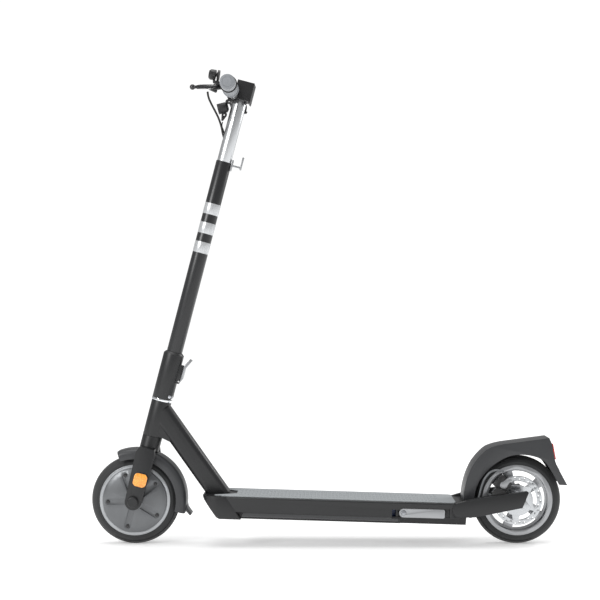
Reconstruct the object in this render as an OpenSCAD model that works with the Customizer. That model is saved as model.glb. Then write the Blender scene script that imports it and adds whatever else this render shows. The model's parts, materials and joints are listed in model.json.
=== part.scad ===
// Electric kick scooter: hub motor in the front wheel, folding stem, alloy deck with the battery
// inside, mechanical disc brake at the rear. +Z is up and -X is the way that it rides.

/* [Wheels] */
// Distance between the two axles
wheelbase = 934; // [800:1:1120]
// Outer diameter of both tyres
tyre_d = 216; // [200:1:230]
// Width of both tyres
tyre_w = 50; // [42:1:58]
// Diameter of the rim that the tyre sits on
rim_d = 172; // [160:1:184]
// Diameter of both axles
axle_d = 12; // [10:0.5:14]
// Play between a shaft and what turns on it, on the radius
running_gap = 0.05; // [0.02:0.01:0.1]

/* [Fork and steering] */
// Angle of the steering axis from the vertical
rake = 14.6; // [8:0.1:20]
// Width between the two fork legs
fork_gap = 100; // [92:1:112]
// Thickness of a fork leg
leg_t = 8; // [6:0.5:10]
// Height of the head tube's lower end over the front axle, along the steering axis
head_low = 161; // [156:1:185]
// Length of the head tube
head_len = 88; // [75:1:105]
// Outer diameter of the head tube
head_d = 49; // [46:0.5:56]
// Diameter of the steerer tube inside it
steerer_d = 30; // [26:0.5:34]

/* [Stem] */
// Outer diameter of the folding sleeve
sleeve_d = 50.5; // [49:0.5:58]
// Length of the folding sleeve
sleeve_len = 117; // [100:1:140]
// Diameter of the hinge pin that the stem folds about
fold_pin_d = 8; // [6:0.5:9]
// Diameter of the lower stem tube
stem_d = 38.4; // [36:0.2:41]
// Length of the lower stem tube that shows above the sleeve
stem_len = 483; // [400:1:580]
// Diameter of the upper stem tube
upper_d = 35; // [31:0.5:37]
// Length of the upper stem tube up to the head
upper_len = 156; // [120:1:190]
// Width of each reflective band
band_w = 27.5; // [20:0.5:33]

/* [Handlebar] */
// Width over the grips
bar_w = 444; // [400:1:530]
// Diameter of the handlebar
bar_d = 25.4; // [22:0.2:28]
// Diameter of a grip
grip_d = 36; // [32:0.5:40]
// Length of a grip
grip_len = 112; // [95:1:125]

/* [Deck] */
// Width of the deck
deck_w = 154; // [135:1:185]
// Depth of the deck's upright sides
side_h = 35; // [33:0.5:42]
// Depth of the slanting cover under the sides
cover_h = 18.5; // [16:0.5:24]
// Thickness of the metal walls
wall = 3; // [2.4:0.1:3.6]
// Thickness of the foot mat
mat_t = 3; // [2:0.1:4]
// Height of the deck's top at its front end
deck_front_z = 122.5; // [116:0.5:130]
// Height of the deck's top at its rear end
deck_rear_z = 105; // [100:0.5:112]
// Length of the side stand from its pivot to its end
stand_len = 99; // [85:1:118]

/* [Rear end] */
// Thickness of each rear arm
arm_t = 14; // [11:0.5:17]
// Diameter of the brake disc
rotor_d = 120; // [105:1:126]
// Width of the rear mudguard
guard_w = 78; // [74:1:90]

/* [Hidden] */
$fn = 64;
eps = 0.01;

// the two axles in the scooter's own frame, whose origin is under the middle of its length
tyre_r = tyre_d / 2;
rim_r = rim_d / 2;
axle_r = axle_d / 2;
flap_reach = 120;  // the rear mudguard's flap behind the rear axle
front_x = -(wheelbase + flap_reach - tyre_r) / 2;
rear_x = front_x + wheelbase;

// heights along the steering axis, counted from the front axle
crown_low = head_low - 35;
head_top = head_low + head_len;
collar_h = 6;
bearing_gap = 0.5;
sleeve_low = head_top + bearing_gap + collar_h + 0.5;
sleeve_top = sleeve_low + sleeve_len;
fold_s = sleeve_low + 8.5;      // the hinge pin over the front axle
fold_off = sleeve_d / 2 - 7.75;  // the hinge pin behind the steering axis
tube_low = sleeve_low + 46;
upper_low = sleeve_top + stem_len;
head_s = upper_low + upper_len;
block_h = 46;                    // height of the head housing
bar_s = head_s + 6.5;
bar_off = -17;

// a point of the side view, from the front axle, given along the steering axis and behind it
function on_axis(s, off = 0) = [
  s * sin(rake) + off * cos(rake),
  s * cos(rake) - off * sin(rake)
];
function arc(r, from, to, n = 12) = [
  for (i = [0:n]) let (a = from + (to - from) * i / n) [r * cos(a), r * sin(a)]
];

module at_front() translate([front_x, 0, tyre_r]) children();
module at_rear() translate([rear_x, 0, tyre_r]) children();
module on_stem(s = 0, off = 0) {
  p = on_axis(s, off);
  at_front() translate([p.x, 0, p.y]) rotate([0, rake, 0]) children();
}
// a rod across the scooter, centred on y
module cross_rod(r, w, y = 0)
  translate([0, y, 0]) rotate([90, 0, 0]) cylinder(r = r, h = w, center = true);
// a side-view outline made into a plate across the scooter, from y0 to y1
module side_plate(y0, y1) translate([0, y1, 0]) rotate([90, 0, 0]) linear_extrude(y1 - y0) children();
// a cross-section (across, up) drawn out along +X
module along_x(len) rotate([90, 0, 90]) linear_extrude(len) children();
// an outline of (radius, across) turned about the wheel's axle
module turned(a = 360) rotate([90, 0, 0]) rotate_extrude(angle = a, $fn = 128) children();
module tube(r, bore, h) {
  difference() {
    cylinder(r = r, h = h);
    translate([0, 0, -1]) cylinder(r = bore, h = h + 2);
  }
}
module round_box2(w, h, r) {
  square([w - 2 * r, h], center = true);
  square([w, h - 2 * r], center = true);
  for (x = [-1, 1], y = [-1, 1]) translate([x * (w / 2 - r), y * (h / 2 - r)]) circle(r = r, $fn = 32);
}
module both_sides() for (s = [-1, 1]) scale([1, s, 1]) children();

// ------------------------------------------------------------------ fork and front wheel
module fork_leg() {
  low_r = 20;
  at_front() rotate([0, rake, 0]) side_plate(fork_gap / 2, fork_gap / 2 + leg_t) {
    circle(r = low_r);
    polygon([
      [-low_r, 0], [low_r, 0], [24, crown_low - 6], [18, crown_low + 8],
      [-18, crown_low + 8], [-24, crown_low - 6]
    ]);
  }
}
module fork() color("#3d3d3d") difference() {
  union() {
    both_sides() fork_leg();
    on_stem(crown_low) cylinder(d = head_d - 0.4, h = head_low - bearing_gap - crown_low);
    on_stem(crown_low) translate([0, 0, 4]) cube([36, fork_gap + 2 * leg_t, 8], center = true);
  }
  at_front() cross_rod(axle_r, fork_gap + 4 * leg_t);
  on_stem(crown_low + 12) cylinder(d = steerer_d, h = 60);
}
module steerer_tube() color("#8c8f92") on_stem(crown_low + 12)
  tube(steerer_d / 2, steerer_d / 2 - 3, head_top + bearing_gap + collar_h - crown_low - 12);
module head_bearings() color("#b8bbbe") for (s = [head_low, head_top - 12])
  on_stem(s) tube(head_d / 2 - 4, steerer_d / 2 + running_gap, 12);
module collar_ring() color("#d8dadc") on_stem(head_top + bearing_gap)
  tube(head_d / 2 + 1.3, steerer_d / 2, collar_h);
module hinge_block() color("#777b80") difference() {
  intersection() {
    on_stem(head_top + bearing_gap + collar_h) union() {
      cylinder(r = fold_off + 1, h = 38);
      translate([fold_off, 0, fold_s - sleeve_low + 0.5]) cross_rod(7.3, 24);
      translate([fold_off - 7.3, -12, 0]) cube([7.3, 24, 8]);
    }
    on_stem(fold_s, fold_off) cross_rod(33.5, 24);
  }
  on_stem(fold_s, fold_off) cross_rod(fold_pin_d / 2 + running_gap, 60);
}
module front_axle() color("#9a9da0") at_front() {
  cross_rod(axle_r, fork_gap + 2 * leg_t + 16);
  both_sides() translate([0, fork_gap / 2 + leg_t + 4, 0]) rotate([90, 0, 0]) difference() {
    cylinder(r = 10, h = 8, center = true, $fn = 6);
    cylinder(r = axle_r, h = 10, center = true);
  }
}
reflector_s = 56;
module fork_reflectors() both_sides() on_stem(reflector_s, 3.7)
  translate([0, fork_gap / 2 + leg_t, 0]) {
    color("#202020") side_plate(0, 2.4) round_box2(36, 36, 11);
    color("#f8a040") side_plate(2.4, 5) round_box2(33, 33, 10);
  }
fender_r = 126;
module front_fender() color("#2c2c2d") at_front() {
  rotate([0, 15, 0]) turned(125) difference() {
    translate([101, -36]) square([fender_r - 101, 72]);
    translate([100, -33.5]) square([fender_r - 103, 67]);
  }
  // the flap behind the wheel
  side_plate(-25, 25) polygon([
    [fender_r - 0.6, -8], [fender_r + 12, -36], [fender_r + 8, -38], [fender_r - 5, -31],
    [fender_r - 4, -8]
  ]);
}
module motor_stator() color("#8a5a3c") at_front() difference() {
  cross_rod(62, 30);
  for (i = [0:17]) rotate([0, i * 20, 0]) translate([52, 0, 0]) cross_rod(4, 40);
  cross_rod(axle_r, 60);
}
module tyre() turned() difference() {
  intersection() {
    translate([tyre_r - 24.2 - (tyre_w - 50) / 2, 0]) circle(r = tyre_w / 2);
    translate([rim_r, -tyre_w]) square([tyre_r - rim_r, 2 * tyre_w]);
  }
  translate([tyre_r - 24.2 - (tyre_w - 50) / 2, 0]) circle(r = tyre_w / 2 - 6);
}
module front_tyre() color("#3c3d3e") at_front() tyre();
module rear_tyre() color("#3c3d3e") at_rear() tyre();
barrel_w = tyre_w - 2;
cover_r = rim_r - 8;
bearing_r = 16;
module motor_shell() color("#b4b6b8") at_front() difference() {
  cross_rod(rim_r, barrel_w);
  cross_rod(cover_r - 6, 60);
  both_sides() cross_rod(cover_r, 20, barrel_w / 2 + 6);
}
screw_ring = 65;
module hub_covers() color("#5b5c5e") at_front() both_sides() difference() {
  turned() polygon([
    [axle_r + 6, -barrel_w / 2 + 4], [cover_r, -barrel_w / 2 + 4], [cover_r, -barrel_w / 2 - 3],
    [cover_r - 12, -barrel_w / 2 - 8], [24, -barrel_w / 2 - 13], [axle_r + 6, -barrel_w / 2 - 13]
  ]);
  cross_rod(bearing_r, 18, barrel_w / 2 + 3);
  for (i = [0:4]) rotate([0, -38.6 - i * 72, 0]) {
    translate([screw_ring, 0, 0]) cross_rod(2.2, 90);
    translate([screw_ring, barrel_w / 2 + 14, 0]) cross_rod(7.5, 18);
    translate([22, barrel_w / 2 + 5, -7.5]) cube([screw_ring - 22, 18, 15]);
  }
}
module hub_screws() color("#1d1d1f") at_front() both_sides() for (i = [0:4])
  rotate([0, -38.6 - i * 72, 0]) translate([screw_ring, 0, 0]) {
    cross_rod(2.1, 7, barrel_w / 2 + 1.5);
    cross_rod(4.3, 2.6, barrel_w / 2 + 6.3);
  }
module motor_bearings() color("#c4c6c8") at_front() both_sides() difference() {
  cross_rod(bearing_r, 9, barrel_w / 2 + 7.5);
  cross_rod(axle_r + running_gap, 90);
}

// ------------------------------------------------------------------ stem
module fold_sleeve() color("#3f4042") on_stem() difference() {
  union() {
    translate([0, 0, sleeve_low]) cylinder(d = sleeve_d, h = sleeve_len - 5);
    translate([0, 0, sleeve_top - 5]) cylinder(d1 = sleeve_d, d2 = stem_d + 3, h = 5);
    // ears that the fold lever turns between
    translate([sleeve_d / 2 + 1, 0, sleeve_low + 67]) cube([8, 24, 46], center = true);
  }
  translate([0, 0, sleeve_low - 1]) cylinder(r = sleeve_d / 2 - 4, h = tube_low - sleeve_low + 1);
  translate([0, 0, tube_low - eps]) cylinder(d = stem_d, h = sleeve_len);
  // the hinge: the pin's bore, the room for the knuckle, and a corner that clears the collar
  translate([fold_off, 0, fold_s]) cross_rod(fold_pin_d / 2, 80);
  translate([fold_off, 0, fold_s]) cross_rod(7.7, 24.6);
  translate([fold_off, -12.3, sleeve_low - 1]) cube([20, 24.6, fold_s - sleeve_low + 1]);
  difference() {
    translate([fold_off, -40, sleeve_low - 1]) cube([20, 80, fold_s - sleeve_low + 1]);
    translate([fold_off, 0, fold_s]) cross_rod(7.75, 90);
  }
  // the slot and bore of the fold lever
  translate([sleeve_d / 2 + 1.5, -5.2, sleeve_low + 38]) cube([12, 10.4, 60]);
  translate([sleeve_d / 2 + 2.6, 0, lever_s]) cross_rod(5, 10.4);
  translate([sleeve_d / 2 + 2.6, 0, lever_s]) cross_rod(2.5, 60);
}
lever_s = sleeve_low + 49;
module fold_pin() color("#e0e0e0") on_stem(fold_s, fold_off) cross_rod(fold_pin_d / 2, 40);
module stem_tube_lower() color("#2b2b2c") on_stem(tube_low)
  tube(stem_d / 2, upper_d / 2, upper_low - tube_low);
module reflective_bands() color("#c8cacc") for (i = [0:2])
  on_stem(upper_low - 134 - i * 48.5) tube(stem_d / 2 + 0.35, stem_d / 2, band_w);
module stem_tube_upper() color("#c6c8ca") difference() {
  on_stem(upper_low - 60) tube(upper_d / 2, upper_d / 2 - 2.5, head_s - upper_low + 60);
  at_bar() cross_rod(clamp_r, block_w + 2);
  // the slot that the cable and the wire go in by
  on_stem(bar_s - 103) translate([-upper_d / 2 - 5, 1.6, 0]) rotate([0, 90, 0])
    linear_extrude(14) round_box2(25, 12.4, 6);
}
module bag_hook() color("#b0b3b6") on_stem(upper_low - 4) difference() {
  union() {
    translate([stem_d / 2 - 0.5, -7, -14]) cube([4, 14, 28]);
    translate([stem_d / 2, -2.3, -2.3]) cube([25, 4.6, 4.6]);
    translate([stem_d / 2 + 22, -2.3, -6]) cube([4.8, 4.6, 30]);
    translate([stem_d / 2 + 24.4, 0, 24]) cross_rod(2.8, 4.6);
  }
  cylinder(d = stem_d + 0.7, h = 60, center = true);
}
module fold_lever() color("#7a7c80") on_stem(lever_s, sleeve_d / 2 + 2.6) difference() {
  union() {
    cross_rod(4.6, 10);
    side_plate(-5, 5) polygon([
      [-1, 0], [4.6, 0], [9.5, 10], [9.5, 36], [20, 58], [14.5, 61], [2.6, 38], [2.6, 8]
    ]);
    side_plate(-9, 9) polygon([[4.7, 16], [9.5, 14], [9.5, 36], [20.5, 58], [14.5, 61], [4.7, 39]]);
  }
  cross_rod(2.5 + running_gap, 60);
}

// ------------------------------------------------------------------ head and controls
// the handlebar's middle, with X and Z level
module at_bar() on_stem(bar_s, bar_off) rotate([0, -rake, 0]) children();
clamp_r = bar_d / 2 + 3.3;
block_w = 56;
module head_housing() color("#282829") difference() {
  union() {
    on_stem(head_s) translate([-15, -block_w / 2, 0]) cube([42, block_w, block_h]);
    on_stem(head_s) translate([23.5, -block_w / 2, -4]) cube([3.5, block_w, 6]);
    at_bar() cross_rod(clamp_r, block_w - 4);
  }
  at_bar() cross_rod(bar_d / 2, 100);
  on_stem(head_s + block_h) translate([5.5, 0, -1]) cube([37, block_w - 8, 4], center = true);
}
module display_lens() color("#0c0d10") on_stem(head_s + block_h) difference() {
  translate([5.5, 0, -1.5]) cube([37, block_w - 8, 3], center = true);
  translate([14, 0, -4]) cylinder(r = button_r + 0.3, h = 10);
}
button_r = 5;
module power_button() color("#c02020") on_stem(head_s + block_h)
  translate([14, 0, -1.4]) cylinder(r = button_r, h = 2.6);
module handlebar() color("#2b2b2d") at_bar() rotate([90, 0, 0])
  translate([0, 0, -bar_w / 2 + 3]) tube(bar_d / 2, bar_d / 2 - 2.4, bar_w - 6);
module grips() color("#86898d") at_bar() both_sides() difference() {
  union() {
    cross_rod(grip_d / 2 - 1, grip_len, bar_w / 2 - grip_len / 2);
    cross_rod(grip_d / 2, 32, bar_w / 2 - 16);
    cross_rod(grip_d / 2 + 2.5, 4, bar_w / 2 - 34);
    cross_rod(grip_d / 2 + 1.5, 4, bar_w / 2 - grip_len + 2);
  }
  cross_rod(bar_d / 2, bar_w - 6);
}
perch_y = bar_w / 2 - grip_len - 14;  // the middle of the lever's clamp, from the stem
// the brake lever's own frame: its pivot, tilted as the lever lies
lever_at = [-33, -perch_y - 2, 8];
module at_lever() at_bar() translate(lever_at) rotate([4.8, -8.5, 0]) children();
module brake_perch() color("#1f1f20") difference() {
  union() {
    at_bar() cross_rod(bar_d / 2 + 4, 20, -perch_y);
    at_lever() translate([0, 0, 0]) cylinder(r = 9, h = 14, center = true);
    at_lever() translate([0, -9, -7]) cube([24, 20, 14]);
    // the barrel that the cable leaves
    at_lever() translate([-12, 6, -5]) rotate([0, -62, 30]) cylinder(r = 4.2, h = 20, center = true);
  }
  at_bar() cross_rod(bar_d / 2, 60, -perch_y);
  at_lever() difference() {
    cylinder(r = 60, h = 7, center = true);
    cylinder(r = 3.4, h = 20, center = true);
    translate([10, -30, -10]) cube([60, 60, 20]);
    translate([-40, 9.6, -10]) cube([60, 30, 20]);
  }
}
module brake_lever() color("#242425") at_lever() difference() {
  union() {
    cylinder(r = 8, h = 6, center = true);
    translate([0, 0, -3]) linear_extrude(6) polygon([
      [6, -5], [2, -18], [-14, -44], [-38, -78], [-50, -90], [-56, -86], [-48, -70],
      [-28, -36], [-18, -12], [-16, 2], [-6, 6]
    ]);
    translate([0, 0, -4.5]) linear_extrude(9) polygon([
      [-8, -34], [-24, -58], [-36, -75], [-44, -70], [-34, -48], [-20, -26]
    ]);
    translate([-52, -89, 0]) sphere(r = 6.5);
  }
  cylinder(r = 3.4 + running_gap, h = 30, center = true);
}
bell_at = [-42, -80, 39];
module at_bell() at_bar() translate(bell_at) rotate([0, -80, 0]) children();
module bell_body() {
  color("#1c1c1d") {
    at_bar() difference() {
      union() {
        cross_rod(bar_d / 2 + 3, 10, bell_at.y);
        side_plate(bell_at.y - 4, bell_at.y + 4)
          polygon([[-4, 13], [-14, 6], [-45, 20], [-45, 33], [-36, 33], [-32, 24]]);
      }
      cross_rod(bar_d / 2, 30, bell_at.y);
      translate(bell_at) rotate([0, -80, 0]) translate([0, 0, -20]) cylinder(r = 13.6, h = 40);
    }
    at_bell() translate([0, 0, -13]) cylinder(r = 13.5, h = 5);
    // the ear that carries the striker
    at_bell() translate([-4, -21.5, -12]) cube([8, 12, 4]);
    at_bell() translate([0, -18.2, -9]) cylinder(r = 1.2, h = 9);
    at_bell() translate([0, 0, -8]) cylinder(r = 3, h = 6);
  }
  // the bell's dome, on a post over its base
  color("#3a3a3c") at_bell() difference() {
    translate([0, 0, -4]) cylinder(r = 12.8, h = 16.5);
    translate([0, 0, -5]) cylinder(r = 11.2, h = 15.5);
    translate([0, 0, 8]) difference() {
      cylinder(r = 14, h = 6);
      cylinder(r1 = 12.8, r2 = 9, h = 5);
    }
  }
}
module bell_striker() color("#1c1c1d") at_bell() translate([0, -18.2, -6]) {
  difference() {
    union() {
      translate([0, 0, -1.8]) cylinder(r = 2.6, h = 4.4);
      translate([-1.6, -9, -0.4]) cube([3.2, 9, 3]);
    }
    translate([0, 0, -5]) cylinder(r = 1.2 + running_gap, h = 12);
  }
  translate([0, -10, 0]) cylinder(r = 4, h = 3);
}
light_at = [-25.5, 0, -28.5];
module at_light() at_bar() translate(light_at) rotate([0, -104, 0]) children();
module headlight_housing() color("#262627") {
  difference() {
    union() {
      at_light() translate([0, 0, -7]) cylinder(r = 13, h = 21.5);
      at_light() translate([0, 0, -12]) cylinder(r1 = 7, r2 = 13, h = 5);
      // the arm up to the handlebar's clamp
      at_bar() side_plate(-5, 5) polygon([
        [-10, -10.8], [-14, -7], [-19.5, -9.5], [-21, -14], [-17, -18], [-10, -19], [-8, -16],
        [-14, -14.5], [-13, -11.5]
      ]);
      // the cable boot beneath
      at_bar() side_plate(-4, 4) polygon([[-30, -39], [-17, -42], [-18, -48], [-27, -60], [-31, -60]]);
    }
    at_light() translate([0, 0, 12]) cylinder(r = 11.5, h = 10);
    at_bar() cross_rod(clamp_r + 0.05, 60);
    at_bar() translate([-24, 0, -46]) cross_rod(2, 20);
  }
}
module headlight_lens() color("#e8eef4") at_light() translate([0, 0, 12]) cylinder(r = 11.4, h = 2);

// a cable through the points of a route, rounded by a spline
function spline(p, i, t) = let (
  a = p[max(i - 1, 0)], b = p[i], c = p[i + 1], d = p[min(i + 2, len(p) - 1)]
) ((2 * b) + (c - a) * t + (2 * a - 5 * b + 4 * c - d) * t * t + (3 * b - a - 3 * c + d) * t * t * t) / 2;
function smooth(p, n = 4) = [
  for (i = [0:len(p) - 2], k = [0:n - 1]) spline(p, i, k / n),
  p[len(p) - 1]
];
function unit(v) = v / norm(v);
module cable(route, r, sides = 8) {
  p = smooth(route);
  last = len(p) - 1;
  rings = [for (i = [0:last]) let (
    d = unit(p[min(i + 1, last)] - p[max(i - 1, 0)]),
    u = unit(cross(d, [0.31, 0.95, 0.05])),
    v = cross(d, u)
  ) for (k = [0:sides - 1]) p[i] + r * (u * cos(360 * k / sides) + v * sin(360 * k / sides))];
  polyhedron(rings, concat(
    [[for (k = [0:sides - 1]) k]],
    [for (i = [0:last - 1], k = [0:sides - 1]) let (n = (k + 1) % sides)
      [i * sides + k, (i + 1) * sides + k, (i + 1) * sides + n, i * sides + n]],
    [[for (k = [0:sides - 1]) last * sides + sides - 1 - k]]
  ));
}
// routes from the handlebar's middle: the brake cable, and the headlight's wire
brake_route = [
  [-57, -perch_y + 6, -3], [-55, -92, -14], [-50, -68, -28], [-42, -40, -44], [-35, -18, -60],
  [-30, -6, -78], [-27, -1, -94], [-23.5, 0, -105]
];
wire_route = [[-28, 2, -62.6], [-30, 3, -70], [-26, 5, -84], [-22, 5, -96], [-20, 4.4, -104]];
module control_cables() color("#1a1a1b") at_bar() {
  cable(brake_route, 2.5);
  cable(wire_route, 1.4);
}
module throttle_housing() color("#222223") at_bar() difference() {
  union() {
    cross_rod(bar_d / 2 + 5, 22, perch_y);
    translate([-8, perch_y - 11, -24]) cube([16, 9, 24]);
  }
  cross_rod(bar_d / 2, 40, perch_y);
  translate([0, perch_y, -20]) cross_rod(2.5 + running_gap, 60);
}
module throttle_lever() color("#3c3d40") at_bar() translate([0, 0, -20]) {
  cross_rod(2.5, 21, perch_y - 0.5);
  difference() {
    translate([0, perch_y + 0.3, 0]) side_plate(0, 9.5) polygon([
      [-5, -4], [3, -5], [24, -9], [27, -4], [8, 3], [0, 1.5], [-4, -1]
    ]);
    translate([0, 0, 20]) cross_rod(bar_d / 2 + 5.6, 60, perch_y);
  }
}

// ------------------------------------------------------------------ frame and deck
nose_x = 241;                                // the deck's front edge behind the front axle
deck_run = wheelbase - 112 - nose_x;         // length of the deck's top
deck_tilt = atan((deck_front_z - deck_rear_z) / deck_run);
module on_deck() translate([front_x + nose_x, 0, deck_front_z]) rotate([0, deck_tilt, 0]) children();
tube_depth = 50.6;
tube_w = 46;
tube_angle = 35.3;                           // of the down tube, from the vertical
half_w = deck_w / 2;
deep = side_h + cover_h;                     // whole depth of the deck
module on_tube() translate([front_x + 148.8, 0, 200.7]) rotate([0, 180 - tube_angle, 0]) children();
module down_tube(extra = 0) on_tube() translate([0, 0, -150]) linear_extrude(256 + extra)
  round_box2(tube_depth, tube_w, 14);
module main_frame() color("#404143") difference() {
  union() {
    on_stem(head_low) cylinder(d = head_d, h = head_len);
    difference() {
      union() {
        down_tube();
        // the web between the head tube and the down tube
        translate([front_x, 0, tyre_r]) side_plate(-20, 20) polygon([
          on_axis(head_low + 2), on_axis(head_low + 2, 24), [84, 142], [98, 164], [86, 192],
          on_axis(head_top - 20)
        ]);
      }
      on_tube() translate([0, 0, -80]) linear_extrude(300)
        round_box2(tube_depth - 2 * wall, tube_w - 2 * wall, 14 - wall);
      // nothing of them stands before the head tube's axis
      on_stem(head_low) translate([-100, -60, -60]) cube([100, 120, head_len + 120]);
    }
  }
  on_stem(head_low - 30) cylinder(r = steerer_d / 2 + 3, h = head_len + 60);
  on_stem(head_low - 40) cylinder(r = head_d / 2 - 4, h = 52);
  on_stem(head_top - 12) cylinder(r = head_d / 2 - 4, h = 40);
  on_stem(head_top) cylinder(r = 90, h = 60);
}
module deck_nose() color("#38393b") difference() {
  intersection() {
    on_deck() side_plate(-half_w, half_w) polygon([
      [-73, 0], [-70, -8], [-37, -deep + 4], [-30, -deep], [22, -deep], [-15, 0]
    ]);
    on_deck() translate([0, 0, -deep - 5]) linear_extrude(deep + 10) polygon([
      [60, half_w], [-35, half_w], for (p = arc(40, 90, 180)) p + [-35, half_w - 40],
      for (p = arc(40, 180, 270)) p + [-35, 40 - half_w], [60, -half_w]
    ]);
  }
  down_tube(eps);
  // the hollow towards the deck
  on_deck() translate([-22, -half_w + 12, -deep + 8]) cube([60, deck_w - 24, deep - 16]);
}
// side outline of an arm, from the rear axle
module arm_outline() {
  translate([-145.5, -17.5]) circle(r = 17.5);
  polygon([
    [-145.5, 0.8], [-111.5, 10.3], [17.5, 28], [20.5, 25], [6, -10.5], [2.5, -12], [-56.5, -24],
    [-109.5, -34.2], [-145.5, -35]
  ]);
}
arm_in = half_w + 1 - arm_t;                 // the arms' inner faces, from the middle
module rear_arms() color("#2e2e30") difference() {
  both_sides() at_rear() side_plate(arm_in, half_w + 1) arm_outline();
  at_rear() cross_rod(axle_r, 2 * (arm_in + 10));
}
module arm_pockets() both_sides() at_rear() side_plate(arm_in - 0.3, half_w + 9) {
  translate([-145.5, -17.5]) circle(r = 17.8);
  translate([-145.5, -45]) square([70, 70]);
}
stand_x = 413.4;                             // the side stand's pivot behind the deck's front edge
stand_z = -25.4;
stand_t = 8;
stand_h = 21.2;
splay = 10;                                  // how far the stand swings outwards
cover_step = 404;                            // where the slanting cover narrows for the stand
module at_stand() on_deck() translate([stand_x, -half_w + stand_t / 2 - 0.5, stand_z])
  children();
module stand_pocket() {
  at_stand() translate([0, -20, 0]) side_plate(0, 20 + stand_t / 2 + 6.4) {
    circle(r = stand_h / 2 + 1);
    translate([0, -20]) square([stand_len + 12, 20 + stand_h / 2 + 1]);
    translate([-stand_h / 2 - 1, -20]) square([20, 20]);
  }
}
// what the stand sweeps as it swings down and forwards, past the cover's upper edge
module stand_sweep() intersection() {
  at_stand() rotate([-splay, 0, 0]) cross_rod(stand_len + 2, stand_t + 5);
  at_stand() translate([-28, -30, -40]) cube([60, 60, 47]);
}
module deck_tray() color("#3f4042") difference() {
  union() {
    intersection() {
      on_deck() translate([-60, 0, 0]) along_x(deck_run + 100) difference() {
        union() {
          translate([-half_w, -side_h]) square([deck_w, side_h - 4]);
          translate([-half_w + 4, -5]) square([deck_w - 8, 5]);
          for (s = [-1, 1]) translate([s * (half_w - 4), -4]) circle(r = 4, $fn = 32);
        }
        translate([-half_w + wall, -side_h - 1]) square([deck_w - 2 * wall, side_h + 1 - wall]);
      }
      on_deck() side_plate(-half_w - 1, half_w + 1) polygon([
        [-15, 0], [-15 + (side_h + 1) * 37 / deep, -side_h - 1], [deck_run + 2, -side_h - 1], [deck_run, 0]
      ]);
    }
    // the end wall, and the bracket that holds the side stand
    on_deck() translate([deck_run - 8, -half_w + 15, -side_h]) cube([6, deck_w - 30, side_h - 1]);
    on_deck() translate([stand_x - 18, -half_w + 1, -side_h]) cube([stand_len + 36, 22, side_h - 1]);
  }
  arm_pockets();
  stand_pocket();
  stand_sweep();
  at_stand() rotate([-splay, 0, 0]) cross_rod(4, 60, 20);
  // the charging socket's hole
  on_deck() translate([port_x, half_w, port_z]) cross_rod(9, 20);
}
port_x = 60;
port_z = -19;
module charge_port() color("#1a1a1a") on_deck() translate([port_x, half_w - 9, port_z]) difference() {
  cross_rod(9, 18);
  cross_rod(5, 14, 4);
}
module charge_cap() color("#2a2a2b") on_deck() translate([port_x, half_w, port_z]) {
  cross_rod(12, 2.4, 1.5);
  translate([-6, 0.3, 9]) cube([12, 2.4, 6]);
  // its rolled hinge
  translate([-6, 1.5, 15]) rotate([0, 90, 0]) cylinder(r = 1.2, h = 12);
}
module bottom_cover() color("#26272a") difference() {
  union() {
    cover_part(9.5, cover_step - 9.5 + wall, half_w - 0.3, half_w - 19);
    cover_part(cover_step, deck_run - 15 - cover_step, half_w - 13, half_w - 24);
  }
  arm_pockets();
  // the slanted seam with the nose
  on_deck() side_plate(-half_w, half_w)
    polygon([[-90, 2], [-15 - 2 * 37 / deep, 2], [22 + 2 * 37 / deep, -deep - 2], [-90, -deep - 2]]);
  stand_sweep();
  for (s = [-1, 1]) led_bar(s, 3);
  cover_screw_places() {
    translate([0, 0, -1]) cylinder(r = 4.2, h = 3.2);
    cylinder(r = 2.2, h = 20);
  }
}
module cover_part(x, len, top_half, low_half) on_deck() difference() {
  translate([x, 0, 0]) along_x(len) polygon([
    [-top_half, -side_h], [top_half, -side_h], [low_half, -deep], [-low_half, -deep]
  ]);
  translate([x + wall, 0, 0]) along_x(len - 2 * wall) polygon([
    [-top_half + 6, -side_h + 1], [top_half - 6, -side_h + 1], [low_half - 4, -deep + wall],
    [-low_half + 4, -deep + wall]
  ]);
}
// a light strip in the cover's slanted face, or with out over 0 the slot that it shows through
module led_bar(s, out = 0) on_deck() translate([24, 0, 0]) along_x(cover_step - 26) scale([s, 1])
  polygon([
    [half_w - 4 + out, -side_h - 3.5 - out], [half_w - 16 + out, -side_h - 15 - out],
    [half_w - 16, -side_h - 15], [half_w - 18, -side_h - 13.4], [half_w - 6.2, -side_h - 2],
    [half_w - 4, -side_h - 3.5]
  ]);
module led_strips() color("#2f4a78") difference() {
  for (s = [-1, 1]) led_bar(s);
  stand_sweep();
}
module cover_screw_places() for (x = [40, 170, 300, deck_run - 60], y = [-48, 48])
  on_deck() translate([x, y, -deep]) children();
module cover_screws() color("#8a8a8a") cover_screw_places() {
  translate([0, 0, 0.2]) cylinder(r = 4, h = 1.9);
  translate([0, 0, 2]) cylinder(r = 2, h = 8);
}
module deck_mat() color("#9da1a4") on_deck() linear_extrude(mat_t) polygon([
  [8, -26], [-44, -58], [-40, -63], for (p = arc(8, 180, 270, 6)) p + [-20, 8 - half_w + 6],
  for (p = arc(10, -90, 0, 6)) p + [deck_run - 52, 10 - half_w + 6],
  for (p = arc(10, 0, 90, 6)) p + [deck_run - 52, half_w - 16],
  for (p = arc(8, 90, 180, 6)) p + [-20, half_w - 14], [-40, 63], [-44, 58], [8, 26]
]);
module battery_pack() color("#3a5a9a") on_deck() translate([75, -45, -deep + 6]) cube([320, 90, 40]);
module controller() color("#8d9196") on_deck() translate([30, -40, -deep + 6]) cube([38, 80, 38]);
module kickstand_bolt() color("#c9cbcd") at_stand() rotate([-splay, 0, 0]) {
  cross_rod(4 - running_gap, 24, 6);
  cross_rod(5.4, 2, -stand_t / 2 - 2);
}
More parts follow.
